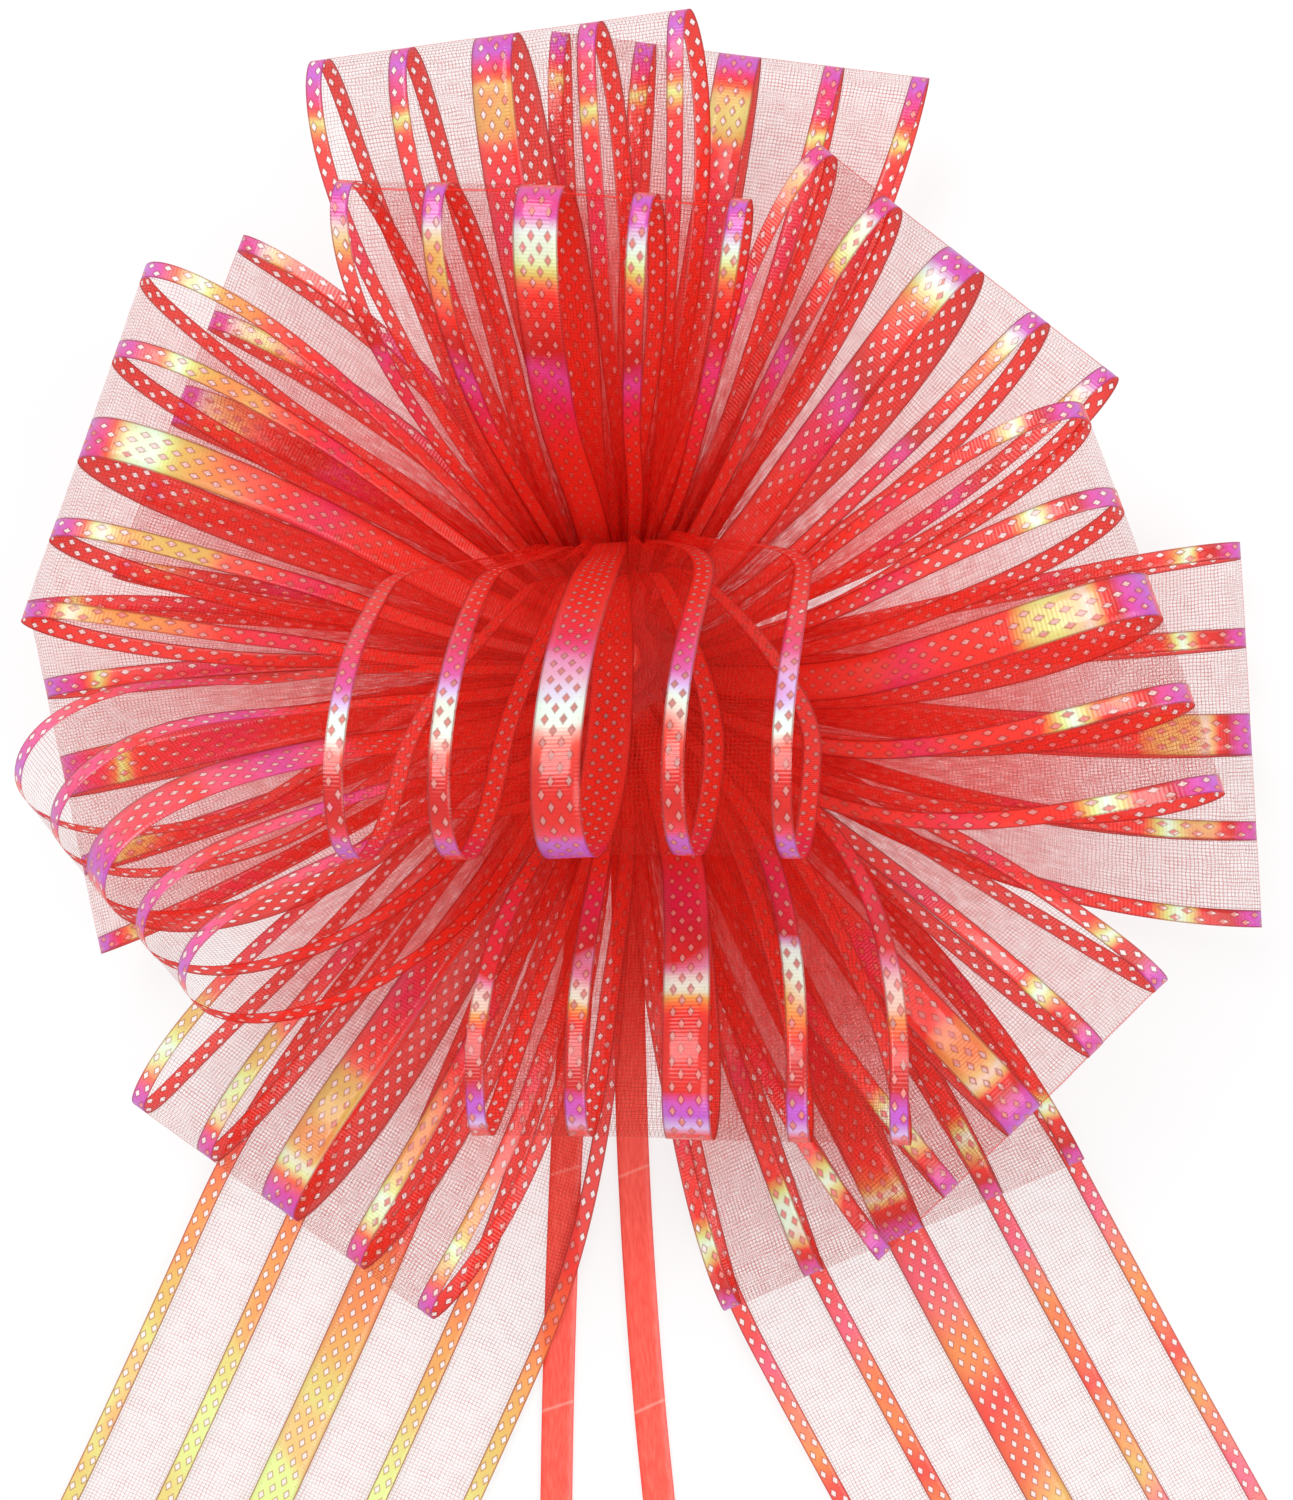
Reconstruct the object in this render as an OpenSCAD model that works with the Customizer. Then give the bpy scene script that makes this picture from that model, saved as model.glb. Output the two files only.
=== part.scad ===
/* [Ribbon] */
// Width of the organza ribbon
ribbon_w = 50; // [46:1:52]
// Thickness of a ribbon layer, loft of its weave included
ribbon_t = 0.45; // [0.3:0.05:0.5]
// Width of the ribbon where it is gathered into a waist
waist_w = 7; // [6:0.5:8]

/* [Waist stack] */
// Height of the lowest waist above the back face
stack_z = 2.5; // [2.4:0.1:4]
// Distance from one waist to the next along the pull strings
waist_pitch = 1.2; // [1.15:0.05:1.5]
// Thickness of one welded waist
waist_t = 1; // [0.8:0.05:1.05]
// Radius of the welded ring in a waist
ring_r = 5; // [4:0.25:5.5]
// Radius of the hole that the pull strings run through
string_hole_r = 2.3; // [2.2:0.05:2.8]
// Distance from the string axis at which the loose ribbon starts
free_r = 7; // [6.5:0.25:8]

/* [Loop form] */
// Radius with which a loop turns up from its flat waist
lift_r = 5; // [4:0.5:6]
// How tightly the two layers of a loop lie together near the waist
pinch = 1.5; // [1.2:0.1:2]
// Half of the clear gap between the two layers at the waist
layer_gap = 0.06; // [0.04:0.01:0.1]

/* [Tails] */
// Length of the left tail from the string axis
tail_left_len = 182; // [150:1:200]
// Length of the right tail from the string axis
tail_right_len = 176; // [150:1:200]
// How far the end of a tail is cut on the slant
tail_slant = 24; // [0:1:40]

/* [Pull strings] */
// Width of a flat pull string
string_w = 4.2; // [3.5:0.1:4.3]
// Thickness of a flat pull string
string_t = 0.4; // [0.3:0.05:0.4]
// Width of the two strings where they run side by side up the stack
core_w = 4; // [3:0.1:4.1]
// Thickness of the two strings together up the stack
core_t = 1; // [0.6:0.1:1.2]

/* [Base weld] */
// Radius of the weld that the bow rests on
base_r = 8.5; // [8:0.25:10]
// Thickness of the base weld
base_t = 1.8; // [1.7:0.05:1.85]
// Thickness of the weld under the strings
base_floor = 0.5; // [0.4:0.05:0.6]

/* [Top knot] */
// Outer radius of the knot that stops the top waist
knot_r = 2.7; // [2.5:0.1:3]
// Height of the knot
knot_h = 2; // [1.6:0.1:2.2]

/* [Hidden] */
// Loops from the bottom of the stack to the top. Each row holds the name, the azimuth and the
// elevation in degrees, the roll about the loop's own line, the sideways sway, the reach from
// the string axis, the bulge, and the distance over which the gathers open.
LOOPS = [
    ["low_lower_left", 238, 13, 20, -5, 83, 8, 77],
    ["low_right", -6, 4, -1, 9, 81, 8, 84],
    ["low_left", 192, 5, 2, 0, 73, 11, 92],
    ["low_lower_right", 296, 7, 3, -3, 82, 11, 85],
    ["low_upper_left", 151, 1, 8, 9, 65, 6.3, 76],
    ["low_top", 79, 1, -5, 3, 79, 8, 87],
    ["mid_lower_right", 311, 26, -2, 4, 81, 10, 91],
    ["mid_top", 101, 14, -21, -2, 80, 8, 77],
    ["mid_upper_right", 49, 23, -15, 7, 68, 8.5, 75],
    ["high_top", 100, 46, -19, -1, 72, 10, 78],
    ["mid_upper_left", 158, 23, 15, -1, 74, 12, 89],
    ["high_right", 2, 46, 12, 17, 77, 14, 86],
    ["high_left", 204, 36, 42, -13, 76, 14, 72],
    ["high_bottom", 281, 48, -11, -10, 75, 14, 69],
    ["crown", 99, 113, 0, 5, 91, 17, 50],
];
NAME = 0;
AZIMUTH = 1;
ELEVATION = 2;
ROLL = 3;
SWAY = 4;
REACH = 5;
BULGE = 6;
OPENING = 7;

// Tails, bottom first: name, azimuth, sway, length.
TAILS = [
    ["right", -62, 3, tail_right_len],
    ["left", -114, -4, tail_left_len],
];
TAIL_SWAY = 2;
TAIL_LEN = 3;

// Routes of the pull strings along the surface that the bow lies on.
STRING_LEFT_ROUTE = [
    [-4, -5, 0.75], [-4, -10, 0.75], [-4.1, -16, 0.75], [-4.4, -21, 0.25], [-4.7, -26, 0.25],
    [-5.2, -34, 0.25], [-5.8, -44, 0.25], [-6.5, -54, 0.25], [-7.1, -64, 0.25],
    [-7.6, -76, 0.25], [-8, -88, 0.25], [-8.3, -100, 0.25], [-8.5, -112, 0.25],
    [-8.8, -124, 0.25], [-9.2, -136, 0.25], [-9.8, -148, 0.25], [-10.6, -158, 0.25],
];
STRING_RIGHT_ROUTE = [
    [0.5, -5, 0.75], [0.5, -10, 0.75], [0.6, -16, 0.75], [0.7, -21, 0.25], [0.8, -26, 0.25],
    [0.9, -34, 0.25], [1.1, -44, 0.25], [1.3, -54, 0.25], [1.6, -64, 0.25],
    [2.2, -76, 0.25], [3, -88, 0.25], [4, -100, 0.25], [5.2, -112, 0.25],
    [6.2, -124, 0.25], [7, -136, 0.25], [7.6, -148, 0.25], [8, -160, 0.25],
];

ORGANZA = [0.86, 0.16, 0.13, 0.6];
WELD = [0.8, 0.12, 0.1];
STRING = [0.95, 0.33, 0.26];

// Places across the ribbon, as shares of its width
ACROSS = [-0.5, 0, 0.5];
// Steps round a loop and along a tail
LOOP_STEPS = 26;
TAIL_STEPS = 22;
// Share of a loop over which its roll builds up
ROLL_SHARE = 0.6;
// Distance from the free start at which the gathers begin to open
GATHER_LEAD = 4;
// Below 1, the gathers open early
GATHER_POWER = 0.8;
// Gap that keeps the loose ribbon off its weld
SEAM_GAP = 0.02;
// Height of a tail over the strings, where it starts to drop, and how far it takes
TAIL_HOVER = 0.85;
TAIL_DROP_START = 100;
TAIL_DROP = 30;
// Distance in which a tail comes down from its waist
TAIL_DESCENT = 24;
// Distance over which the gathers of a tail open
TAIL_OPENING = 85;
// Share of a tail at which its slanted end begins
SLANT_START = 0.7;
// Cut-out in the base weld for the two strings: left, right, back and height
STRING_SLOT = [-6.5, 3, 1.6, 0.7];
// Bottom of the upright strings, inside the base weld
CORE_BOTTOM = 1.35;
// Free end of the ribbon above the top waist: azimuth, radius, tilt, length and width
END_FLAP = [137, 4.4, 55, 8, 5];

STACK = len(TAILS) + len(LOOPS);

function waist_z(level) = stack_z + waist_pitch * level;
function smooth(x) = let (c = min(max(x, 0), 1)) c * c * (3 - 2 * c);
function unit(v) = v / norm(v);
function along(azimuth) = [cos(azimuth), sin(azimuth), 0];
function across(azimuth) = [-sin(azimuth), cos(azimuth), 0];
function opened_w(s, distance) =
    waist_w + (ribbon_w - waist_w) * pow(smooth((s + GATHER_LEAD) / distance), GATHER_POWER);

// Place on a loop's middle line at distance s from its waist, then its across, up and forward
// directions there.
function loop_frame(l, base_z, s) =
    let (
        free = l[REACH] - free_r,
        heading = l[AZIMUTH] - l[SWAY],
        turn = min(s / lift_r * 180 / PI, l[ELEVATION]),
        straight = max(s - lift_r * l[ELEVATION] * PI / 180, 0),
        out = free_r + lift_r * sin(turn) + straight * cos(l[ELEVATION]),
        up = base_z + lift_r * (1 - cos(turn)) + straight * sin(l[ELEVATION]),
        side = free * tan(l[SWAY]) * pow(s / free, 2),
        bend = 2 * l[SWAY] * s / free,
        roll = l[ROLL] * smooth(s / free / ROLL_SHARE),
        forward = along(heading) * cos(turn) + [0, 0, sin(turn)],
        upward = [0, 0, cos(turn)] - along(heading) * sin(turn),
        sideways = across(heading) * cos(bend) - forward * sin(bend)
    )
    [
        along(heading) * out + across(heading) * side + [0, 0, up],
        sideways * cos(roll) + upward * sin(roll),
        upward * cos(roll) - sideways * sin(roll),
        forward * cos(bend) + across(heading) * sin(bend),
    ];

// Teardrop outline of a loop: distance from the waist and height, for t from 0 to 360.
function teardrop(l, t) =
    [
        (l[REACH] - free_r) * (1 - cos(t)) / 2,
        (ribbon_t / 2 + layer_gap) * cos(t / 2) + l[BULGE] * sin(t) * pow(abs(sin(t / 2)), pinch),
    ];

function teardrop_normal(l, t) =
    let (
        c = min(max(t, 1), 359),
        step = teardrop(l, c + 0.5) - teardrop(l, c - 0.5)
    )
    unit([-step[1], step[0]]);

// Point on a loop: t round the teardrop, a across the ribbon from -0.5 to 0.5, off through it.
function loop_point(l, base_z, t, a, off) =
    let (
        p = teardrop(l, t) + off * teardrop_normal(l, t),
        s = min(max(p[0], 0), l[REACH] - free_r),
        frame = loop_frame(l, base_z, s)
    )
    frame[0] + frame[3] * (p[0] - s) + frame[1] * a * opened_w(s, l[OPENING]) + frame[2] * p[1];

// Point on a tail at distance s, a across it, off through it.
function tail_point(t, base_z, s, a, off) =
    let (
        heading = t[AZIMUTH] - t[TAIL_SWAY],
        f = s / t[TAIL_LEN],
        here = s + a * tail_slant * smooth((f - SLANT_START) / (1 - SLANT_START)),
        middle = along(heading) * here + across(heading) * here * tan(t[TAIL_SWAY]) * f,
        lying = TAIL_HOVER
            - (TAIL_HOVER - ribbon_t / 2) * smooth((s - TAIL_DROP_START) / TAIL_DROP),
        z = lying + (base_z - lying) * (1 - smooth((s - free_r) / TAIL_DESCENT))
    )
    middle + across(heading + 2 * t[TAIL_SWAY] * f) * a * opened_w(s - free_r, TAIL_OPENING)
        + [0, 0, z + off];

// Closed skin over rings of points that all have the same even number of corners. The second half
// of a ring mirrors the first, and so do its triangles, which keeps the two faces of a twisted
// ribbon parallel.
module skin(rings) {
    corners = len(rings[0]);
    half = corners / 2;
    last = (len(rings) - 1) * corners;
    sides = [
        for (i = [0 : len(rings) - 2], j = [0 : corners - 1])
            let (a = i * corners + j, b = i * corners + (j + 1) % corners)
                each j < half
                    ? [[a, b, a + corners], [b, b + corners, a + corners]]
                    : [[a, b, b + corners], [a, b + corners, a + corners]]
    ];
    start = [
        for (j = [0 : half - 2])
            let (a = j, b = j + 1, c = corners - 2 - j, d = corners - 1 - j)
                each [[a, d, c], [a, c, b]]
    ];
    end = [
        for (j = [0 : half - 2])
            let (a = last + j, b = a + 1, c = last + corners - 2 - j, d = c + 1)
                each [[a, b, c], [a, c, d]]
    ];
    polyhedron(points = [for (ring = rings) each ring], faces = concat(start, end, sides));
}

// Ring of a ribbon: places across it on one face, and back again on the other.
function ribbon_ring(face, back) =
    concat([for (a = ACROSS) face(a)], [for (i = [len(ACROSS) - 1 : -1 : 0]) back(ACROSS[i])]);

module loop_band(l, base_z) {
    color(ORGANZA)
    skin([
        for (i = [0 : LOOP_STEPS])
            let (t = 360 * i / LOOP_STEPS)
                ribbon_ring(
                    function (a) loop_point(l, base_z, t, a, ribbon_t / 2),
                    function (a) loop_point(l, base_z, t, a, -ribbon_t / 2)
                )
    ]);
}

module tail(t, base_z) {
    color(ORGANZA)
    skin([
        for (i = [0 : TAIL_STEPS])
            let (s = free_r + (t[TAIL_LEN] - free_r) * i / TAIL_STEPS)
                ribbon_ring(
                    function (a) tail_point(t, base_z, s, a, ribbon_t / 2),
                    function (a) tail_point(t, base_z, s, a, -ribbon_t / 2)
                )
    ]);
}

// Welded ring round the pull strings, with the tab that the gathered ribbon grows out of.
module waist(azimuth, base_z) {
    color(WELD)
    translate([0, 0, base_z - waist_t / 2])
    difference() {
        union() {
            cylinder(r = ring_r, h = waist_t, $fn = 64);
            rotate(azimuth)
            translate([0, -waist_w / 2, 0])
                cube([free_r - SEAM_GAP, waist_w, waist_t]);
        }
        translate([0, 0, -waist_t]) cylinder(r = string_hole_r, h = 3 * waist_t, $fn = 64);
    }
}

// Lowest weld, where both ribbons end and the strings come out. It is the face the bow rests on.
module base_weld() {
    color(WELD)
    difference() {
        cylinder(r = base_r, h = base_t, $fn = 96);
        translate([0, 0, base_floor]) cylinder(r = string_hole_r, h = base_t, $fn = 64);
        translate([STRING_SLOT[0], -base_r - 1, base_floor])
            cube([
                STRING_SLOT[1] - STRING_SLOT[0], base_r + 1 + STRING_SLOT[2], STRING_SLOT[3]
            ]);
    }
}

// The two strings side by side up through the stack of waists.
module core_string() {
    height = waist_z(STACK - 1) + waist_t / 2 + 0.2 - CORE_BOTTOM;
    color(STRING)
    translate([-core_w / 2, -core_t / 2, CORE_BOTTOM])
        cube([core_w, core_t, height]);
}

// Knot of the strings on the top waist.
module top_knot() {
    bead = knot_h / 2;
    color(STRING)
    translate([0, 0, waist_z(STACK - 1) + waist_t / 2 + 0.2])
    union() {
        translate([0, 0, bead])
        rotate_extrude($fn = 48)
        translate([knot_r - bead, 0])
            circle(r = bead, $fn = 24);
        cylinder(r = knot_r - bead, h = knot_h * 0.9, $fn = 48);
    }
}

// Cut end of the ribbon that stands up beside the knot.
module ribbon_end() {
    color(ORGANZA)
    translate([0, 0, waist_z(STACK - 1) + waist_t / 2 + SEAM_GAP])
    rotate(END_FLAP[0])
    translate([END_FLAP[1], -END_FLAP[4] / 2, 0])
    rotate([0, -END_FLAP[2], 0])
        cube([END_FLAP[3], END_FLAP[4], ribbon_t]);
}

// Flat string with eased edges along a route.
module pull_string(route) {
    w = string_w / 2;
    t = string_t / 2;
    edge = string_t / 4;
    color(STRING)
    skin([
        for (i = [0 : len(route) - 1])
            let (
                step = route[min(i + 1, len(route) - 1)] - route[max(i - 1, 0)],
                side = unit([-step[1], step[0], 0]),
                up = unit(cross(step, side))
            )
                [
                    for (c = [
                        [-w, -t + edge], [-w, t - edge], [-w + edge, t], [w - edge, t],
                        [w, t - edge], [w, -t + edge], [w - edge, -t], [-w + edge, -t],
                    ])
                        route[i] + side * c[0] + up * c[1]
                ]
    ]);
}

base_weld();
core_string();
top_knot();
ribbon_end();
pull_string(STRING_LEFT_ROUTE);  // pull_string_left
pull_string(STRING_RIGHT_ROUTE);  // pull_string_right
for (i = [0 : len(TAILS) - 1]) {
    t = TAILS[i];
    tail(t, waist_z(i));
    waist(t[AZIMUTH] - t[TAIL_SWAY], waist_z(i));
}
for (i = [0 : len(LOOPS) - 1]) {
    l = LOOPS[i];
    level = i + len(TAILS);
    loop_band(l, waist_z(level));
    waist(l[AZIMUTH] - l[SWAY], waist_z(level));
}
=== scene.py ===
"""A pulled-up gift bow of sheer organza ribbon with iridescent film stripes, lying face up."""
import math

import bmesh
import bpy
import numpy as np
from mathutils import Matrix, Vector, noise


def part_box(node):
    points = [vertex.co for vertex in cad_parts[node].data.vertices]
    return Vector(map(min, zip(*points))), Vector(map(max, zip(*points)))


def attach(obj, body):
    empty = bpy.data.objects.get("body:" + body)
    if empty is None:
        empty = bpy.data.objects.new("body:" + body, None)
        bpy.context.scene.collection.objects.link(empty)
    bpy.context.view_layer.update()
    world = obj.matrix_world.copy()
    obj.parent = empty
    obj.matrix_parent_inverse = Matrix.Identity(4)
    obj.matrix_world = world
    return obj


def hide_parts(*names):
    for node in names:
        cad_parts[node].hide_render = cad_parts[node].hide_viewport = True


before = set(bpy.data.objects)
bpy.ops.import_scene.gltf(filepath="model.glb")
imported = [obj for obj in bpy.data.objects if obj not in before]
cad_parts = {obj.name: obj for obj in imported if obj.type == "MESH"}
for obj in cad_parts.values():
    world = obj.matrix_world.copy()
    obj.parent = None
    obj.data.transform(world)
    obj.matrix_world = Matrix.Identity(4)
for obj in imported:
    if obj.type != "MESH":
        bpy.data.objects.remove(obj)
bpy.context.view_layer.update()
MM = 0.001

# ---------------------------------------------------------------- driving sizes, as in the CAD model
RIBBON_W = 50.0
WAIST_W = 7.0
STACK_Z = 2.5
WAIST_PITCH = 1.2
FREE_R = 7.0
LIFT_R = 5.0
PINCH = 1.5
LAYER_GAP = 0.285
ROLL_SHARE = 0.6
GATHER_LEAD = 4.0
GATHER_POWER = 0.6
STRING_W = 4.2
STRING_T = 0.4

# Loops from the bottom of the stack to the top: name, azimuth, elevation, roll, sway, reach,
# bulge, opening, and the set of painted highlight and reflection bands on the film's outside.
LOOPS = [
    ("low_lower_left", 238, 13, 20, -5, 83, 8, 77, "long_gold"),
    ("low_right", -6, 4, -1, 9, 81, 8, 84, "late"),
    ("low_left", 192, 5, 2, 0, 73, 11, 92, "faint"),
    ("low_lower_right", 296, 7, 3, -3, 82, 11, 85, "late"),
    ("low_upper_left", 151, 1, 8, 9, 65, 6.3, 76, "early"),
    ("low_top", 79, 1, -5, 3, 79, 8, 87, "faint"),
    ("mid_lower_right", 311, 26, -2, 4, 81, 10, 91, "late"),
    ("mid_top", 101, 14, -21, -2, 80, 8, 77, "faint"),
    ("mid_upper_right", 49, 23, -15, 7, 68, 8.5, 75, "early"),
    ("high_top", 100, 46, -19, -1, 72, 10, 78, "early"),
    ("mid_upper_left", 158, 23, 15, -1, 74, 12, 89, "long_gold"),
    ("high_right", 2, 46, 12, 17, 77, 14, 86, "late"),
    ("high_left", 204, 36, 42, -13, 76, 14, 72, "pink"),
    ("high_bottom", 281, 48, -11, -10, 75, 14, 69, "deep"),
    ("crown", 99, 113, 0, 5, 91, 17, 50, "crown"),
]

# Tails, bottom first: name, azimuth, sway, length, and the set of painted highlight and reflection
# bands on the film.
TAILS = [
    ("right", -62, 3, 176, "tail_right"),
    ("left", -114, -4, 182, "tail_left"),
]
TAIL_SLANT = 24.0
TAIL_HOVER = 0.85
TAIL_LYING = 0.225
TAIL_DROP_START = 100.0
TAIL_DROP = 30.0
TAIL_DESCENT = 24.0
TAIL_OPENING = 85.0
SLANT_START = 0.7

STRING_LEFT_ROUTE = [
    (-4, -5, 0.75), (-4, -10, 0.75), (-4.1, -16, 0.75), (-4.4, -21, 0.25), (-4.7, -26, 0.25),
    (-5.2, -34, 0.25), (-5.8, -44, 0.25), (-6.5, -54, 0.25), (-7.1, -64, 0.25),
    (-7.6, -76, 0.25), (-8, -88, 0.25), (-8.3, -100, 0.25), (-8.5, -112, 0.25),
    (-8.8, -124, 0.25), (-9.2, -136, 0.25), (-9.8, -148, 0.25), (-10.6, -158, 0.25),
]
STRING_RIGHT_ROUTE = [
    (0.5, -5, 0.75), (0.5, -10, 0.75), (0.6, -16, 0.75), (0.7, -21, 0.25), (0.8, -26, 0.25),
    (0.9, -34, 0.25), (1.1, -44, 0.25), (1.3, -54, 0.25), (1.6, -64, 0.25),
    (2.2, -76, 0.25), (3, -88, 0.25), (4, -100, 0.25), (5.2, -112, 0.25),
    (6.2, -124, 0.25), (7, -136, 0.25), (7.6, -148, 0.25), (8, -160, 0.25),
]

# Film stripes of the ribbon: middle and width across it.
STRIPES = [(-23.9, 2.2), (-12.5, 2.5), (0.0, 5.4), (12.5, 2.5), (23.9, 2.2)]
FILM_RAISE = 0.1

# The flap of the ribbon's cut end, as in the CAD model.
FLAP_AZIMUTH = 137
FLAP_OUT = 4.4
FLAP_TILT = 55
FLAP_L = 8.0
FLAP_W = 5.0
FLAP_ROWS = 18
FLAP_COLUMNS = 13
FLAP_CURL = 0.7
FLAP_DISH = 0.25

# Weave, gathers and film dots, in mm and shares from 0 to 1.
THREAD_PITCH = 0.48
THREAD_W = 0.07
GATHER_COVER = 0.5
INNER_COVER = 0.42
INNER_START = 12.0
INNER_END = 36.0
CREASE_STRENGTH = 0.75
FILM_COVER = 0.95
DOT_PITCH = 2.8
DOT_HALF_W = 0.36
DOT_HALF_L = 0.6
DOT_ROWS_END = 2.0
DOT_CLEARNESS = 0.62
MARK_PITCH = 31.0

# Mesh detail and the uneven shape of the cloth, in mm.
GAP_COLUMNS = 10
STRIPE_COLUMNS = 5
LOOP_ROWS = 132
TAIL_ROWS = 150
PLEAT_MOST = 1.7
PLEAT_SHARE = 0.22
RIPPLE = 0.8
ROUND_BULGE = 11.5
TAIL_WAVE = 0.8
TAIL_PLEATS = 0.4
TAIL_FLAT_START = 30
TAIL_PLEATS_START = 20
TAIL_CHANGE = 40
TAIL_SEED = 40
LEAST_GATHER_SCALE = 0.08

CAMERA_AT = (3.4, -11.6, 480.0)
FRAME_H = 197.4
SENSOR_H = 36.0

FLOOR_SIZE = 12.0
FLOOR_GREY = 0.2
FLOOR_GLOW = 0.74
WORLD_GLOW = 0.8


# ---------------------------------------------------------------- camera
def make_camera():
    """The lens looks straight down and frames FRAME_H at the floor's height."""
    data = bpy.data.cameras.new("camera")
    data.sensor_fit = "VERTICAL"
    data.sensor_height = SENSOR_H
    data.lens = SENSOR_H * CAMERA_AT[2] / FRAME_H
    data.clip_start = 0.01
    data.clip_end = 20
    camera = bpy.data.objects.new("camera", data)
    bpy.context.collection.objects.link(camera)
    camera.location = Vector(CAMERA_AT) * MM
    bpy.context.scene.camera = camera


# ---------------------------------------------------------------- node helpers
def rgb(red, green, blue):
    """A display colour, 0 to 255, as the linear colour that a shader takes."""
    def linear(c):
        c /= 255
        return c / 12.92 if c <= 0.04045 else ((c + 0.055) / 1.055) ** 2.4
    return (linear(red), linear(green), linear(blue), 1.0)


class Tree:
    """A new material's node tree, with short calls that add and link nodes."""

    def __init__(self, name):
        self.material = bpy.data.materials.new(name)
        self.material.use_nodes = True
        self.tree = self.material.node_tree
        self.tree.nodes.clear()

    def add(self, kind, inputs=None, **properties):
        made = self.tree.nodes.new("ShaderNode" + kind)
        for key, value in properties.items():
            setattr(made, key, value)
        for key, value in (inputs or {}).items():
            if isinstance(value, bpy.types.NodeSocket):
                self.tree.links.new(value, made.inputs[key])
            else:
                made.inputs[key].default_value = value
        return made

    def math(self, operation, a, b=0.0, c=0.0, clamp=False):
        return self.add(
            "Math", {0: a, 1: b, 2: c}, operation=operation, use_clamp=clamp
        ).outputs[0]

    def attribute(self, name):
        return self.add("Attribute", attribute_name=name).outputs["Fac"]

    def fade(self, value, start, end, low=0.0, high=1.0):
        """low before start, high past end, and a smooth change between them."""
        made = self.add("MapRange", {0: value, 1: start, 2: end, 3: low, 4: high})
        made.interpolation_type = "SMOOTHSTEP"
        return made.outputs[0]

    def noise(self, vector, scale, detail=2.0):
        made = self.add("TexNoise", {"Vector": vector, "Scale": scale, "Detail": detail})
        return made.outputs["Fac"]

    def ramp(self, value, stops):
        """stops is a list of (position from 0 to 1, colour)."""
        made = self.add("ValToRGB", {0: value})
        elements = made.color_ramp.elements
        elements[0].position, elements[0].color = stops[0]
        elements[1].position, elements[1].color = stops[-1]
        for position, colour in stops[1:-1]:
            elements.new(position).color = colour
        return made.outputs[0]

    def mix(self, factor, a, b):
        made = self.add("Mix", {0: factor, 6: a, 7: b}, data_type="RGBA", blend_type="MIX")
        return made.outputs[2]

    def bump(self, height, distance):
        return self.add(
            "Bump", {"Height": height, "Distance": distance, "Strength": 1.0}
        ).outputs[0]

    def blend_shaders(self, factor, a, b):
        return self.add("MixShader", {0: factor, 1: a, 2: b}).outputs[0]

    def finish(self, shader):
        self.add("OutputMaterial", {"Surface": shader})
        return self.material


# ---------------------------------------------------------------- materials
# Film colours: red is the film's own colour; the mint, lime and lavender are painted highlights and
# the other tints are painted reflection colours of its iridescent shine.
RED = rgb(238, 46, 32)
DEEP_RED = rgb(196, 26, 20)
CORAL = rgb(240, 96, 74)
CRIMSON = rgb(226, 34, 84)
VIOLET = rgb(188, 92, 206)
MAGENTA = rgb(216, 70, 160)
PINK = rgb(244, 88, 124)
LAVENDER_HIGHLIGHT = rgb(214, 190, 240)
MINT_HIGHLIGHT = rgb(222, 252, 236)
LIME_HIGHLIGHT = rgb(214, 236, 142)
GOLD = rgb(216, 178, 84)
ORANGE = rgb(240, 138, 60)

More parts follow.
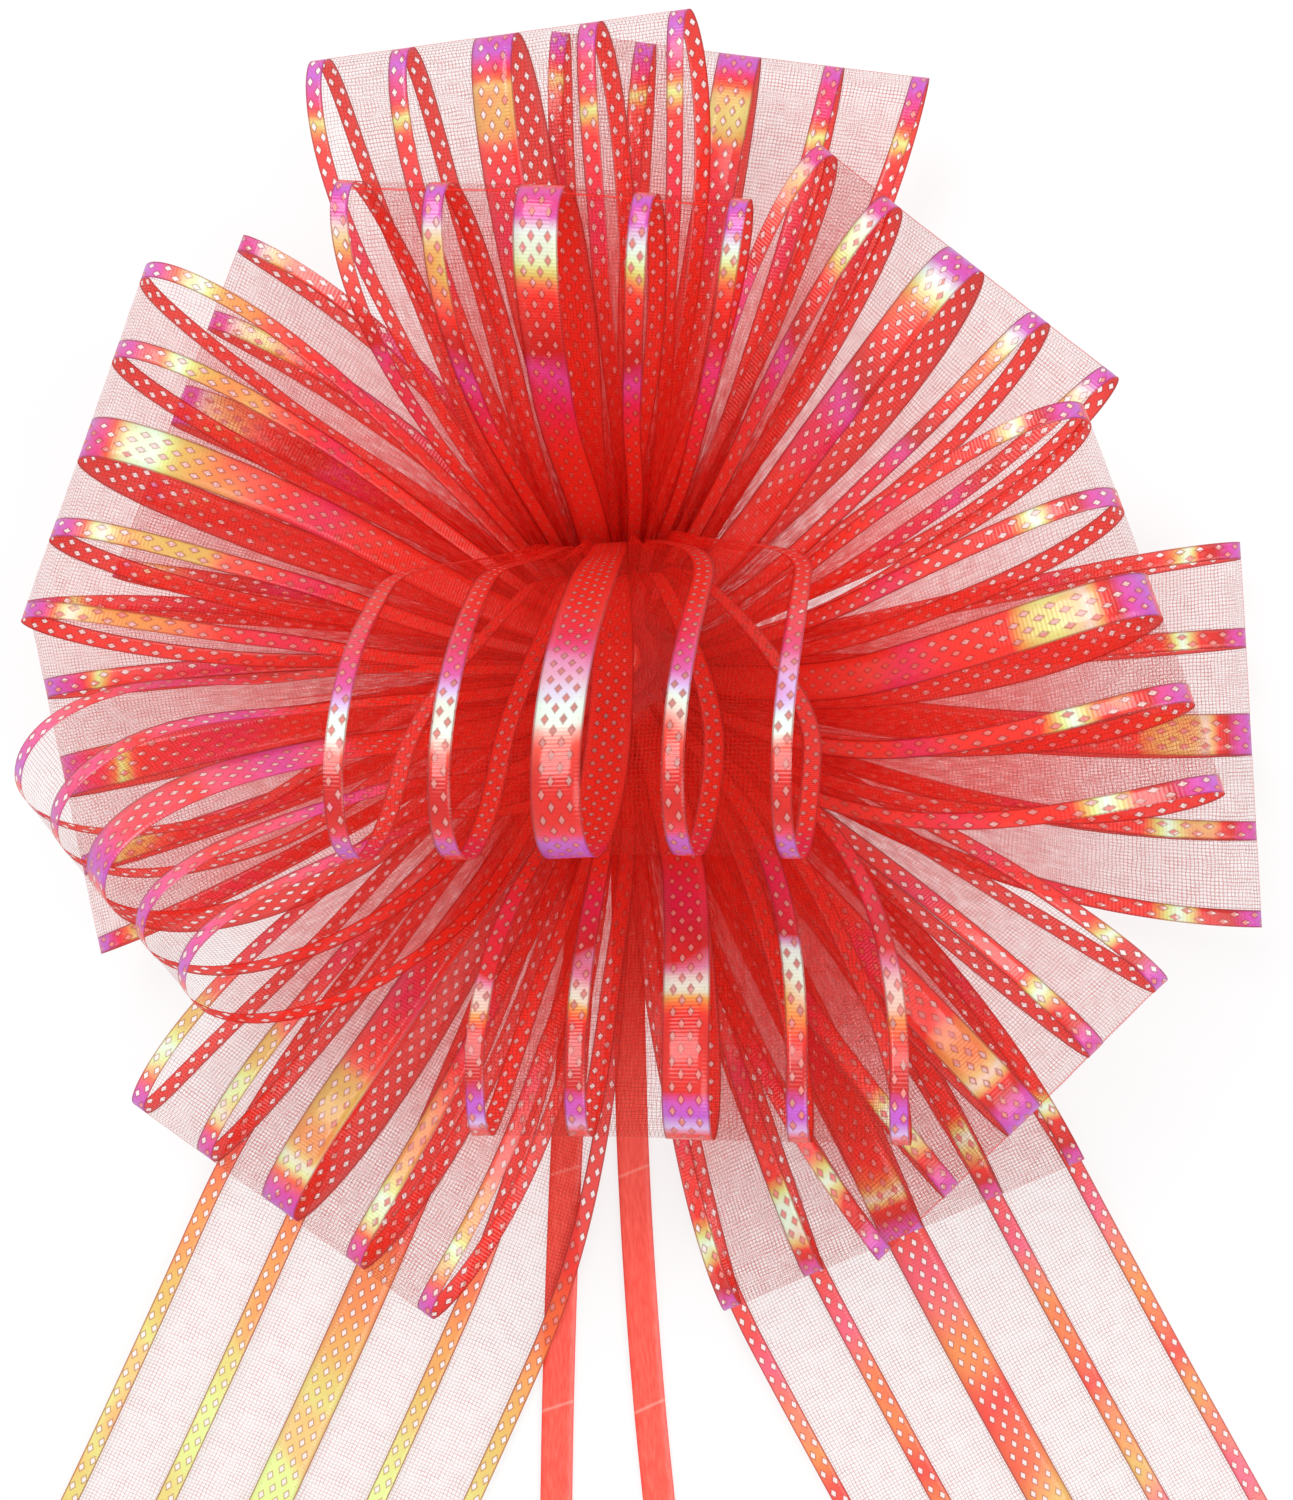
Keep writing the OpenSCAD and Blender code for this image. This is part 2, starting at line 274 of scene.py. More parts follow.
# Film colours by distance in mm from the fold, on the outside of the loop: the film's own red with
# painted highlights (mint, lime, lavender) and painted reflection colours (gold, orange, coral,
# pink, crimson, magenta, violet, dark red) in place of its iridescent shine.
FILM_PAINTED_REFLECTIONS = {
    "early": [
        (-1.5, RED), (0, VIOLET), (2, MAGENTA), (4, VIOLET), (4.8, MINT_HIGHLIGHT), (7, LIME_HIGHLIGHT), (9.5, GOLD),
        (11.5, CORAL), (14, RED), (19, DEEP_RED), (21.5, DEEP_RED), (22.5, MAGENTA),
        (28, CRIMSON), (36, RED),
    ],
    "long_gold": [
        (-1.5, RED), (0, VIOLET), (3.5, MAGENTA), (4.5, RED), (6, LIME_HIGHLIGHT), (7.5, MINT_HIGHLIGHT), (9, LIME_HIGHLIGHT),
        (12, GOLD), (18, GOLD), (22, CORAL), (26, RED), (32, CRIMSON), (38, RED),
    ],
    "faint": [
        (-1.5, RED), (0, MAGENTA), (3, VIOLET), (5.5, CRIMSON), (7.5, RED), (8.5, GOLD),
        (9.5, LIME_HIGHLIGHT), (10.8, GOLD), (12, CORAL), (14, RED), (26, CRIMSON), (32, RED),
    ],
    "late": [
        (-1.5, RED), (0, VIOLET), (3.6, MAGENTA), (4.6, DEEP_RED), (7, RED), (8, LIME_HIGHLIGHT),
        (9.2, MINT_HIGHLIGHT), (10.8, LIME_HIGHLIGHT), (12, GOLD), (13.5, RED), (24, RED), (29, CRIMSON), (34, RED),
    ],
    "deep": [
        (-1.5, RED), (0, LAVENDER_HIGHLIGHT), (0.8, VIOLET), (3.6, VIOLET), (4.2, DEEP_RED), (8, DEEP_RED),
        (12, RED), (13, ORANGE), (14.5, GOLD), (16, MINT_HIGHLIGHT), (18.5, MINT_HIGHLIGHT), (20, LAVENDER_HIGHLIGHT),
        (21, DEEP_RED), (30, CRIMSON), (38, RED),
    ],
    "pink": [
        (-1.5, RED), (0, VIOLET), (3, MAGENTA), (6, PINK), (13, RED), (18, PINK), (26, MAGENTA),
        (32, PINK), (38, RED),
    ],
    "crown": [
        (-34, RED), (-24, CRIMSON), (-19, MAGENTA), (-15.5, LAVENDER_HIGHLIGHT), (-12.5, MINT_HIGHLIGHT), (-9, MINT_HIGHLIGHT),
        (-7, CORAL), (-4, DEEP_RED), (1, DEEP_RED), (3, RED), (4, VIOLET), (9, VIOLET), (10.5, RED),
        (18, CRIMSON), (26, RED),
    ],
    "tail_left": [
        (0, RED), (76, RED), (86, ORANGE), (98, GOLD), (112, LIME_HIGHLIGHT), (135, GOLD), (150, LIME_HIGHLIGHT),
        (170, ORANGE),
    ],
    "tail_right": [
        (0, RED), (84, RED), (92, PINK), (100, ORANGE), (112, RED), (124, GOLD), (132, PINK),
        (142, ORANGE), (176, GOLD),
    ],
}
FOLD_SPAN = 200.0
BAND_WANDER = 9.0


def film_material(look):
    """Glossy embossed film: painted highlight and reflection bands along it in place of its
    iridescent shine, and rows of small clear diamonds.
    """
    t = Tree("film_" + look)
    lane = t.attribute("lane")
    along = t.attribute("along")
    fold = t.attribute("fold")
    gather = t.attribute("gather")
    where = t.add("CombineXYZ", {0: t.attribute("across"), 1: along, 2: 0.0}).outputs[0]

    cloudy = t.noise(where, 0.07, 1.0)
    wander = t.math("MULTIPLY_ADD", cloudy, 2 * BAND_WANDER, -BAND_WANDER)
    wander = t.math("MULTIPLY", wander, t.fade(t.math("ABSOLUTE", fold), 3.0, 9.0))
    place = t.math("ADD", fold, wander)
    # Painted highlights and reflections: the film's colour bands are set by distance from the fold,
    # not by the lamps.
    share = t.math("MULTIPLY_ADD", place, 1 / (2 * FOLD_SPAN), 0.5)
    stops = [(0.5 + d / (2 * FOLD_SPAN), colour) for d, colour in FILM_PAINTED_REFLECTIONS[look]]
    colour = t.ramp(share, stops)
    colour = t.mix(t.fade(cloudy, 0.45, 0.62, 0.0, 0.4), colour, RED)

    row = t.math("FLOOR", lane)
    odd = t.math("PINGPONG", row, 1.0)
    in_row = t.math("ABSOLUTE", t.math("SUBTRACT", t.math("SUBTRACT", lane, row), 0.5))
    step = t.math("MULTIPLY_ADD", along, 1 / DOT_PITCH, t.math("MULTIPLY", odd, 0.5))
    in_step = t.math("ABSOLUTE", t.math("SUBTRACT", t.math("FRACT", step), 0.5))
    reach = t.math(
        "ADD",
        t.math("DIVIDE", in_row, DOT_HALF_W),
        t.math("MULTIPLY", in_step, DOT_PITCH / DOT_HALF_L),
    )
    inner = t.fade(t.math("ABSOLUTE", lane), DOT_ROWS_END, DOT_ROWS_END + 0.2, 1.0, 0.0)
    inner = t.math("MULTIPLY", inner, t.fade(gather, 1.3, 3.0, 1.0, 0.25))
    dot = t.math("MULTIPLY", t.fade(reach, 0.8, 1.0, 1.0, 0.0), inner)
    rim = t.math("MULTIPLY", t.fade(reach, 1.05, 1.6, 1.0, 0.0), inner)
    rim = t.math("SUBTRACT", rim, dot, clamp=True)
    edge = t.fade(t.attribute("edge"), 0.1, 0.28, 1.0, 0.0)
    colour = t.mix(t.math("MULTIPLY", rim, 0.6), colour, rgb(150, 16, 14))
    colour = t.mix(t.math("MULTIPLY", edge, 0.7), colour, rgb(150, 16, 14))
    pale = t.mix(t.fade(gather, 1.05, 1.5), rgb(255, 220, 210), rgb(250, 132, 112))
    colour = t.mix(dot, colour, pale)

    weave = t.math("MULTIPLY", t.math("SINE", t.math("MULTIPLY", along, 14.0)), 0.12)
    height = t.math("SUBTRACT", weave, dot)
    film = t.add("BsdfPrincipled", {
        "Base Color": colour, "Roughness": 0.28, "Specular IOR Level": 0.5,
        "Coat Weight": 0.5, "Coat Roughness": 0.12, "Normal": t.bump(height, 0.00012),
    }).outputs[0]
    glow = t.add("BsdfTranslucent", {"Color": colour}).outputs[0]
    body = t.blend_shaders(0.3, film, glow)
    clear = t.add("BsdfTransparent").outputs[0]
    cover = t.math("SUBTRACT", FILM_COVER, t.math("MULTIPLY", dot, DOT_CLEARNESS))
    return t.finish(t.blend_shaders(cover, clear, body))


def organza_material(name, crease_strength, inner_cover):
    """Sheer plain weave: two sets of fine threads, closer together where it is gathered."""
    t = Tree(name)
    across = t.attribute("across")
    along = t.attribute("along")
    gather = t.attribute("gather")
    where = t.add("CombineXYZ", {0: across, 1: along, 2: 0.0}).outputs[0]
    uneven = t.noise(where, 0.5, 3.0)
    drift = t.math("MULTIPLY_ADD", uneven, 0.6, -0.3)

    def threads(coordinate):
        shifted = t.math("ADD", coordinate, drift)
        off = t.math("PINGPONG", shifted, THREAD_PITCH / 2)
        return t.fade(off, THREAD_W * 0.3, THREAD_W * 0.8, 1.0, 0.0)

    weave = t.math("MAXIMUM", threads(across), threads(along))
    thread_cover = t.math("MULTIPLY", weave, t.fade(uneven, 0.3, 0.7, 0.38, 0.62))
    extra = t.math("SUBTRACT", gather, 1.0)
    closeness = t.math("SUBTRACT", 1.0, t.math("POWER", 1 - GATHER_COVER, extra))
    from_fold = t.math("ABSOLUTE", t.attribute("fold"))
    inner = t.fade(from_fold, INNER_START, INNER_END, 0.0, inner_cover)
    closeness = t.math("MAXIMUM", closeness, inner)
    stretched = t.add("CombineXYZ", {0: t.math("MULTIPLY", across, 3.0), 1: along}).outputs[0]
    crinkle = t.noise(stretched, 0.45, 3.0)
    closeness = t.math("MULTIPLY", closeness, t.fade(crinkle, 0.36, 0.6, 0.45, 1.0))
    crease = t.fade(from_fold, 0.1, 0.3, crease_strength, 0.0)
    selvage = t.fade(t.attribute("edge"), 0.0, 0.25, 0.7, 0.0)
    line = t.math("MAXIMUM", crease, selvage)
    cover = t.math("MAXIMUM", t.math("MAXIMUM", thread_cover, closeness), line)

    colour = t.mix(t.fade(crinkle, 0.35, 0.65), rgb(255, 60, 42), rgb(232, 20, 12))
    # Painted shade: where single threads show, away from the gathers, they are painted a darker red
    # for the shading of thin threads.
    loose_thread_shade = t.fade(gather, 1.1, 2.2, 1.0, 0.25)
    colour = t.mix(t.math("MULTIPLY", weave, loose_thread_shade), colour, rgb(196, 40, 24))
    cloth = t.add("BsdfPrincipled", {
        "Base Color": colour, "Roughness": 0.45, "Specular IOR Level": 0.15,
        "Normal": t.bump(weave, 0.00008),
    }).outputs[0]
    glow = t.add("BsdfTranslucent", {"Color": colour}).outputs[0]
    body = t.blend_shaders(0.4, cloth, glow)
    clear = t.add("BsdfTransparent").outputs[0]
    return t.finish(t.blend_shaders(cover, clear, body))


def plastic_material(name, base, worn, roughness, relief):
    """Moulded or melted plastic with a faint cloudy tone and a fine uneven surface."""
    t = Tree(name)
    where = t.add("TexCoord").outputs["Object"]
    cloud = t.fade(t.noise(where, 260.0, 4.0), 0.3, 0.7)
    colour = t.mix(cloud, base, worn)
    grain = t.noise(where, 1400.0, 3.0)
    rough = t.fade(cloud, 0.0, 1.0, roughness - 0.05, roughness + 0.1)
    return t.finish(t.add("BsdfPrincipled", {
        "Base Color": colour, "Roughness": rough, "Coat Weight": 0.3,
        "Coat Roughness": 0.2, "Normal": t.bump(grain, relief),
    }).outputs[0])


def string_material():
    """Flat split-film string: fine lines along it, a soft shine and a few pale stress marks."""
    t = Tree("string_film")
    across = t.attribute("across")
    along = t.attribute("along")
    where = t.add("CombineXYZ", {0: t.math("MULTIPLY", across, 6.0), 1: along, 2: 0.0}).outputs[0]
    fibre = t.noise(where, 0.5, 4.0)
    colour = t.mix(t.fade(fibre, 0.3, 0.7), rgb(244, 74, 58), rgb(255, 98, 80))
    slant = t.math("MULTIPLY_ADD", across, 0.35, along)
    mark = t.fade(t.math("PINGPONG", slant, MARK_PITCH / 2), 0.0, 0.35, 0.55, 0.0)
    colour = t.mix(mark, colour, rgb(255, 168, 152))
    edge = t.fade(t.math("ABSOLUTE", across), STRING_W / 2 - 0.35, STRING_W / 2, 0.0, 0.5)
    colour = t.mix(edge, colour, rgb(214, 50, 40))
    skin = t.add("BsdfPrincipled", {
        "Base Color": colour, "Roughness": 0.35, "Coat Weight": 0.25, "Coat Roughness": 0.2,
        "Normal": t.bump(fibre, 0.00006),
    }).outputs[0]
    glow = t.add("BsdfTranslucent", {"Color": colour}).outputs[0]
    return t.finish(t.blend_shaders(0.2, skin, glow))


# ---------------------------------------------------------------- mesh helpers
def grid_object(name, points, attributes, material_of, materials):
    """A quad sheet over points[row, column], smooth, with one float attribute per name."""
    rows, columns = points.shape[:2]
    index = np.arange(rows * columns).reshape(rows, columns)
    quads = np.stack(
        [index[:-1, :-1], index[:-1, 1:], index[1:, 1:], index[1:, :-1]], axis=-1
    ).reshape(-1, 4)
    mesh = bpy.data.meshes.new(name)
    mesh.from_pydata((points.reshape(-1, 3) * MM).tolist(), [], quads.tolist())
    for material in materials:
        mesh.materials.append(material)
    slots = np.tile(material_of, rows - 1).astype(np.int32)
    mesh.polygons.foreach_set("material_index", slots)
    mesh.polygons.foreach_set("use_smooth", np.ones(len(quads), bool))
    for key, values in attributes.items():
        layer = mesh.attributes.new(key, "FLOAT", "POINT")
        layer.data.foreach_set("value", np.ascontiguousarray(values, np.float32).ravel())
    mesh.update()
    made = bpy.data.objects.new(name, mesh)
    bpy.context.collection.objects.link(made)
    return made


def smooth(x):
    """0 below 0, 1 above 1, with an eased rise between."""
    x = np.clip(x, 0.0, 1.0)
    return x * x * (3 - 2 * x)


def unit(v):
    return v / np.linalg.norm(v, axis=-1, keepdims=True)


def opened_w(s, distance):
    """Width of the ribbon at s mm from its waist, fully open at the given distance."""
    share = smooth((s + GATHER_LEAD) / distance) ** GATHER_POWER
    return WAIST_W + (RIBBON_W - WAIST_W) * share


class Columns:
    """Places across the ribbon: a few on each film stripe and more on the organza between."""

    def __init__(self):
        across, lane, edge, raise_by, film, gap, in_gap = [], [], [], [], [], [], []
        at = -RIBBON_W / 2
        for number, (middle, width) in enumerate(STRIPES):
            low, high = middle - width / 2, middle + width / 2
            if number:
                for q in np.linspace(0, 1, GAP_COLUMNS + 1):
                    across.append(at + (low - at) * q)
                    lane.append(0.0)
                    edge.append(9.0)
                    raise_by.append(0.0)
                    gap.append(number)
                    in_gap.append(q)
                    film.append(False)
            low = max(low, -RIBBON_W / 2)
            high = min(high, RIBBON_W / 2)
            for q in np.linspace(0, 1, STRIPE_COLUMNS):
                across.append(low + (high - low) * q)
                lane.append(across[-1] - middle)
                edge.append(min(q, 1 - q) * (high - low))
                raise_by.append(FILM_RAISE)
                gap.append(0)
                in_gap.append(0.0)
                film.append(True)
            at = high
        self.across = np.array(across)
        self.lane = np.array(lane)
        self.edge = np.array(edge)
        self.raised = np.array(raise_by)
        self.gap = np.array(gap)
        self.in_gap = np.array(in_gap)
        self.film = np.array(film)
        self.face_film = (self.film[:-1] & self.film[1:]).astype(int)
        self.stripe_total = sum(width for _, width in STRIPES)

    def spread(self, width):
        """Sideways places in mm for ribbon widths (one row each), and the organza's closeness."""
        width = np.asarray(width)[:, None]
        film_scale = np.minimum((width / RIBBON_W) ** 0.3, 0.8 * width / self.stripe_total)
        gap_total = RIBBON_W - self.stripe_total
        gap_scale = (width - film_scale * self.stripe_total) / gap_total
        steps = np.diff(self.across)[None, :]
        scaled = np.where(self.face_film[None, :] == 1, steps * film_scale, steps * gap_scale)
        places = np.concatenate([np.zeros((len(width), 1)), np.cumsum(scaled, axis=1)], axis=1)
        return places - places[:, -1:] / 2, gap_scale[:, 0]


def pleats(columns, gap_scale, s, seed):
    """Folds of the organza between the stripes, in mm, deeper where the ribbon is gathered."""
    rng = np.random.default_rng(seed)
    depth = np.minimum(PLEAT_MOST, PLEAT_SHARE * (1 - gap_scale) * 9.0) * smooth(s / 12.0)
    total = np.zeros((len(s), len(columns.across)))
    for number in range(1, len(STRIPES)):
        waves = rng.choice([2.0, 3.0])
        sign = rng.choice([-1.0, 1.0])
        skew = rng.uniform(0.7, 1.3)
        q = np.where(columns.gap == number, columns.in_gap, 0.0)
        shape = np.sin(np.pi * q ** skew) * np.sin(np.pi * waves * q)
        total += depth[:, None] * sign * shape[None, :]
    return total


def ripple(across, along, seed, size):
    """Soft uneven waves of the cloth, in mm."""
    out = np.zeros((len(along), len(across)))
    for i, v in enumerate(along):
        for j, u in enumerate(across):
            out[i, j] = noise.noise(Vector((u / 22.0, v / 26.0, seed * 7.3)))
    return out * size


# ---------------------------------------------------------------- loops
class Loop:
    """The surface of one loop, as the CAD model forms it."""

    def __init__(self, row, level):
        (self.name, azimuth, elevation, roll, sway, reach, bulge, opening, self.look) = row
        self.base_z = STACK_Z + WAIST_PITCH * level
        self.free = reach - FREE_R
        self.heading = math.radians(azimuth - sway)
        self.elevation = math.radians(elevation)
        self.roll = math.radians(roll)
        self.sway = math.radians(sway)
        self.bulge = bulge
        self.opening = opening
        self.cloth = "organza_round" if bulge > ROUND_BULGE else "organza"

    def outline(self, t):
        s = self.free * (1 - np.cos(t)) / 2
        v = LAYER_GAP * np.cos(t / 2)
        v = v + self.bulge * np.sin(t) * np.abs(np.sin(t / 2)) ** PINCH
        return s, v

    def axes(self, s):
        out = np.array([math.cos(self.heading), math.sin(self.heading), 0.0])
        side = np.array([-math.sin(self.heading), math.cos(self.heading), 0.0])
        up = np.array([0.0, 0.0, 1.0])
        turn = np.minimum(s / LIFT_R, self.elevation)[:, None]
        straight = np.maximum(s - LIFT_R * self.elevation, 0)[:, None]
        s = s[:, None]
        radius = FREE_R + LIFT_R * np.sin(turn) + straight * math.cos(self.elevation)
        height = self.base_z + LIFT_R * (1 - np.cos(turn)) + straight * math.sin(self.elevation)
        drift = self.free * math.tan(self.sway) * (s / self.free) ** 2
        bend = 2 * self.sway * s / self.free
        roll = self.roll * smooth(s / self.free / ROLL_SHARE)
        forward = out * np.cos(turn) + up * np.sin(turn)
        upward = up * np.cos(turn) - out * np.sin(turn)
        sideways = side * np.cos(bend) - forward * np.sin(bend)
        middle = out * radius + side * drift + up * height
        across = sideways * np.cos(roll) + upward * np.sin(roll)
        normal = upward * np.cos(roll) - sideways * np.sin(roll)
        ahead = forward * np.cos(bend) + side * np.sin(bend)
        return middle, ahead, across, normal

    def rows(self):
        """Angles round the outline, closer together at the fold, and the length up to each."""
        fine = np.linspace(0, 2 * math.pi, 2001)
        s, v = self.outline(fine)
        length = np.concatenate([[0], np.cumsum(np.hypot(np.diff(s), np.diff(v)))])
        even = np.linspace(0, 1, LOOP_ROWS + 1)
        mixed = 0.5 * length / length[-1] + 0.5 * fine / (2 * math.pi)
        t = np.interp(even, mixed, fine)
        return t, np.interp(t, fine, length), length[-1]


def make_loop(row, level, columns, materials):
    """The ribbon of one loop, out along its top layer, round the fold and back."""
    loop = Loop(row, level)
    t, along, total = loop.rows()
    s, v = loop.outline(t)
    s = np.clip(s, 0, loop.free)
    width = opened_w(s, loop.opening)
    sideways, gap_scale = columns.spread(width)
    middle, _, across, normal = loop.axes(s)
    seed = level + 1
    lift = pleats(columns, gap_scale, s, seed)
    open_share = smooth(s / 25.0)[:, None]
    lift = lift + ripple(columns.across, along, seed, RIPPLE) * open_share
    outward = np.where(t < math.pi, 1.0, -1.0)[:, None] * columns.raised[None, :]
    away = (v[:, None] + lift + outward)[..., None]
    points = middle[:, None, :] + across[:, None, :] * sideways[..., None]
    points = points + normal[:, None, :] * away
    shape = points.shape[:2]
    fold = (total / 2 - along)[:, None]
    gather = 1 / np.clip(gap_scale, LEAST_GATHER_SCALE, 1.0)[:, None]
    made = grid_object(
        "ribbon_" + loop.name,
        points,
        {
            "across": np.broadcast_to(columns.across, shape),
            "lane": np.broadcast_to(columns.lane, shape),
            "edge": np.broadcast_to(columns.edge, shape),
            "along": np.broadcast_to(along[:, None], shape),
            "fold": np.broadcast_to(fold, shape),
            "gather": np.broadcast_to(gather, shape),
        },
        columns.face_film,
        [materials[loop.cloth], materials[loop.look]],
    )
    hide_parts("loop_" + loop.name)
    return made


# ---------------------------------------------------------------- tails
def make_tail(row, level, columns, materials):
    """A tail that drops from its waist to lie on the surface, with its end cut on the slant."""
    name, azimuth, sway, length, look = row
    base_z = STACK_Z + WAIST_PITCH * level
    heading = math.radians(azimuth - sway)
    sway = math.radians(sway)
    s = np.linspace(FREE_R, length, TAIL_ROWS)
    share = s / length
    sideways, gap_scale = columns.spread(opened_w(s - FREE_R, TAIL_OPENING))
    slant = smooth((share - SLANT_START) / (1 - SLANT_START))[:, None]
    here = s[:, None] + columns.across / RIBBON_W * TAIL_SLANT * slant
    out = np.array([math.cos(heading), math.sin(heading), 0.0])
    side = np.array([-math.sin(heading), math.cos(heading), 0.0])
    drift = here * math.tan(sway) * share[:, None]
    turn = heading + 2 * sway * share
    across = np.stack([-np.sin(turn), np.cos(turn), 0 * turn], axis=-1)
    drop = smooth((s - TAIL_DROP_START) / TAIL_DROP)
    lying = TAIL_HOVER - (TAIL_HOVER - TAIL_LYING) * drop
    z = lying + (base_z - lying) * (1 - smooth((s - FREE_R) / TAIL_DESCENT))
    seed = TAIL_SEED + level
    pleat_share = (1 - smooth((s - TAIL_PLEATS_START) / TAIL_CHANGE))[:, None]
    lift = pleats(columns, gap_scale, s - FREE_R, seed) * pleat_share
    waves = ripple(columns.across, s, seed, 1.0)
    flat_share = smooth((s - TAIL_FLAT_START) / TAIL_CHANGE)[:, None]
    lift = lift * TAIL_PLEATS + TAIL_WAVE * (waves + 0.5) * flat_share
    points = out * here[..., None] + side * drift[..., None]
    points = points + across[:, None, :] * sideways[..., None]
    points[..., 2] = z[:, None] + np.maximum(lift, -0.1) + columns.raised
    gather = 1 / np.clip(gap_scale, LEAST_GATHER_SCALE, 1.0)[:, None]
    shape = points.shape[:2]
    made = grid_object(
        "ribbon_tail_" + name,
        points,
        {
            "across": np.broadcast_to(columns.across, shape),
            "lane": np.broadcast_to(columns.lane, shape),
            "edge": np.broadcast_to(columns.edge, shape),
            "along": here,
            "fold": here,
            "gather": np.broadcast_to(gather, shape),
        },
        columns.face_film,
        [materials["organza_tail"], materials[look]],
    )
    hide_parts("tail_" + name)
    return made


# ---------------------------------------------------------------- strings
def smooth_route(route, steps):
    """Points on a curve through the route's own points."""
    p = np.array(route, float)
    p = np.vstack([2 * p[0] - p[1], p, 2 * p[-1] - p[-2]])
    out = []
    for i in range(1, len(p) - 2):
        for q in np.linspace(0, 1, steps, endpoint=False):
            out.append(0.5 * (
                2 * p[i]
                + (p[i + 1] - p[i - 1]) * q
                + (2 * p[i - 1] - 5 * p[i] + 4 * p[i + 1] - p[i + 2]) * q * q
                + (3 * p[i] - p[i - 1] - 3 * p[i + 1] + p[i + 2]) * q ** 3
            ))
    out.append(p[-2])
    return np.array(out)


def make_string(name, route, material, body):
    """A flat string with eased edges, slightly dished, along its route."""
    line = smooth_route(route, 6)
    ahead = unit(np.gradient(line, axis=0))
    side = unit(np.stack([-ahead[:, 1], ahead[:, 0], 0 * ahead[:, 0]], axis=-1))
    up = np.cross(ahead, side)
    w, h, e = STRING_W / 2, STRING_T / 2, STRING_T / 4
    profile = [
        (-w, -h + e), (-w, h - e), (-w + e, h), (-w * 0.5, h - 0.04), (0, h - 0.07),
        (w * 0.5, h - 0.04), (w - e, h), (w, h - e), (w, -h + e), (w - e, -h), (-w + e, -h),
        (-w, -h + e),
    ]
    rings = np.stack([line + side * x + up * y for x, y in profile], axis=1)
    step = np.linalg.norm(np.diff(line, axis=0), axis=1)
    along = np.concatenate([[0], np.cumsum(step)])
    shape = rings.shape[:2]
    made = grid_object(
        name + "_ribbon",
        rings,
        {
            "across": np.broadcast_to(np.array([x for x, _ in profile]), shape),
            "along": np.broadcast_to(along[:, None], shape),
        },
        np.zeros(len(profile) - 1),
        [material],
    )
    close_ends(made)
    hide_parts(name)
    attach(made, body)
    return made


def close_ends(made):
    """Welds the profile's seam and fills the two ends."""
    mesh = bmesh.new()
    mesh.from_mesh(made.data)
    bmesh.ops.remove_doubles(mesh, verts=mesh.verts, dist=1e-7)
    rim = [e for e in mesh.edges if e.is_boundary]
    bmesh.ops.holes_fill(mesh, edges=rim, sides=0)
    bmesh.ops.recalc_face_normals(mesh, faces=mesh.faces)
    mesh.to_mesh(made.data)
    mesh.free()


# ---------------------------------------------------------------- small parts
def make_flap(materials):
    """The cut end of the ribbon that stands up beside the knot."""
    low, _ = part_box("ribbon_end")
    low_z = low[2] / MM
    v = np.linspace(0, 1, FLAP_ROWS)[:, None]
    u = np.linspace(-1, 1, FLAP_COLUMNS)[None, :]
    heading = math.radians(FLAP_AZIMUTH)
    out = np.array([math.cos(heading), math.sin(heading), 0.0])
    side = np.array([-math.sin(heading), math.cos(heading), 0.0])
    tilt = math.radians(FLAP_TILT)
    foot = out * FLAP_OUT + np.array([0, 0, low_z + 0.1])
    reach = FLAP_L * v
    curl = FLAP_CURL * np.sin(v * math.pi) + FLAP_DISH * u * u
    ahead = out * math.cos(tilt) + np.array([0, 0, math.sin(tilt)])
    normal = np.array([0, 0, math.cos(tilt)]) - out * math.sin(tilt)
    points = foot + ahead * reach[..., None] * np.ones_like(u)[..., None]
    points = points + side * (u * FLAP_W / 2 * np.ones_like(v))[..., None]
    points = points + normal * curl[..., None]
    shape = points.shape[:2]
    made = grid_object(
        "ribbon_cut_end",
        points,
        {
            "lane": np.broadcast_to(u * 2.4, shape),
            "edge": np.broadcast_to((1 - np.abs(u)) * FLAP_W / 2, shape),
            "along": np.broadcast_to(reach, shape),
            "fold": np.broadcast_to(v * 5.0, shape),
        },
        np.zeros(FLAP_COLUMNS - 1),
        [materials["crown"]],
    )
    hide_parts("ribbon_end")
    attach(made, "crown")


def finish_cad_parts(materials):
    """The welds, the strings inside the stack and the knot keep their CAD shapes."""
    for name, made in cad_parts.items():
        if name.startswith("waist_") or name == "base_weld":
            paint(made, materials["weld"])
        elif name in ("core_string", "top_knot"):
            paint(made, materials["knot"])


def paint(made, material):
    made.data.materials.clear()
    made.data.materials.append(material)


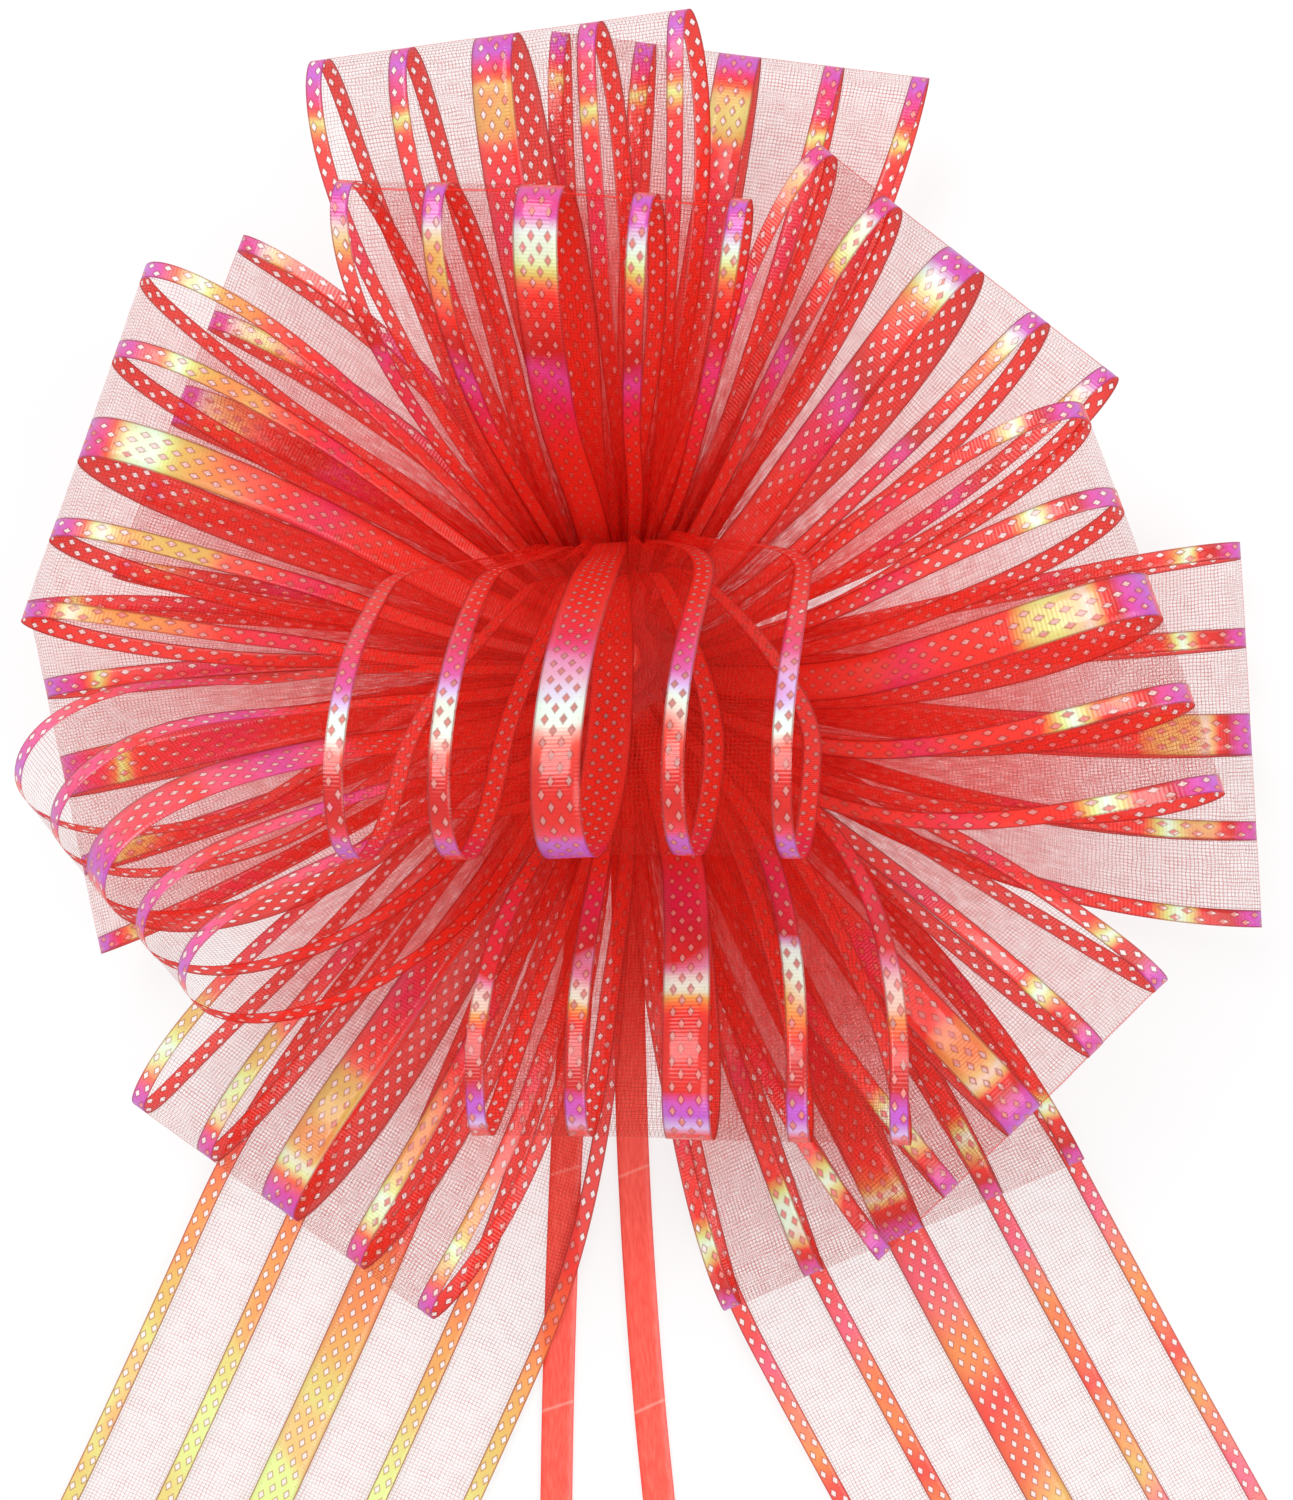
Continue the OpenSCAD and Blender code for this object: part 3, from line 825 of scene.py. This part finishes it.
# ---------------------------------------------------------------- stage and light
def make_stage():
    bpy.ops.mesh.primitive_plane_add(size=FLOOR_SIZE, location=(0, 0, -0.0003))
    floor = bpy.context.object
    floor.name = "floor"
    t = Tree("pale_floor")
    paper = t.add("BsdfDiffuse", {"Color": (FLOOR_GREY, FLOOR_GREY, FLOOR_GREY, 1)}).outputs[0]
    light = t.add("Emission", {"Color": (1, 1, 1, 1), "Strength": FLOOR_GLOW}).outputs[0]
    made = t.add("AddShader", {0: paper, 1: light}).outputs[0]
    floor.data.materials.append(t.finish(made))

    world = bpy.data.worlds.new("studio")
    bpy.context.scene.world = world
    world.use_nodes = True
    back = world.node_tree.nodes["Background"]
    back.inputs[0].default_value = (1, 1, 1, 1)
    back.inputs[1].default_value = WORLD_GLOW

    soft_light("key", (-0.35, 0.45, 0.9), 0.5, 7.0)
    soft_light("fill", (0.6, -0.3, 0.8), 0.7, 5.0)


def soft_light(name, place, size, power):
    data = bpy.data.lights.new(name, "AREA")
    data.size = size
    data.energy = power
    made = bpy.data.objects.new(name, data)
    bpy.context.collection.objects.link(made)
    made.location = place
    made.rotation_euler = (-Vector(place)).to_track_quat("-Z", "Y").to_euler()


# ---------------------------------------------------------------- build
make_camera()
MATERIALS = {
    "organza": organza_material("organza", CREASE_STRENGTH, INNER_COVER),
    "organza_round": organza_material("organza_round", 0.0, INNER_COVER),
    "organza_tail": organza_material("organza_tail", 0.0, 0.0),
    "string": string_material(),
}
make_string("pull_string_left", STRING_LEFT_ROUTE, MATERIALS["string"], "string_left")
make_string("pull_string_right", STRING_RIGHT_ROUTE, MATERIALS["string"], "string_right")
for film_look in FILM_PAINTED_REFLECTIONS:
    MATERIALS[film_look] = film_material(film_look)
MATERIALS["weld"] = plastic_material("weld", rgb(206, 30, 24), rgb(176, 18, 16), 0.32, 0.0001)
MATERIALS["knot"] = plastic_material("knot", rgb(250, 84, 66), rgb(236, 66, 52), 0.36, 0.00006)

COLUMNS = Columns()
for number, tail_row in enumerate(TAILS):
    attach(make_tail(tail_row, number, COLUMNS, MATERIALS), "tail_" + tail_row[0])
for number, loop_row in enumerate(LOOPS):
    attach(make_loop(loop_row, number + len(TAILS), COLUMNS, MATERIALS), loop_row[0])
make_flap(MATERIALS)
finish_cad_parts(MATERIALS)
make_stage()

scene = bpy.context.scene
scene.view_settings.view_transform = "Standard"
scene.cycles.transparent_max_bounces = 40
scene.cycles.max_bounces = 4
scene.cycles.diffuse_bounces = 2

bpy.context.view_layer.update()
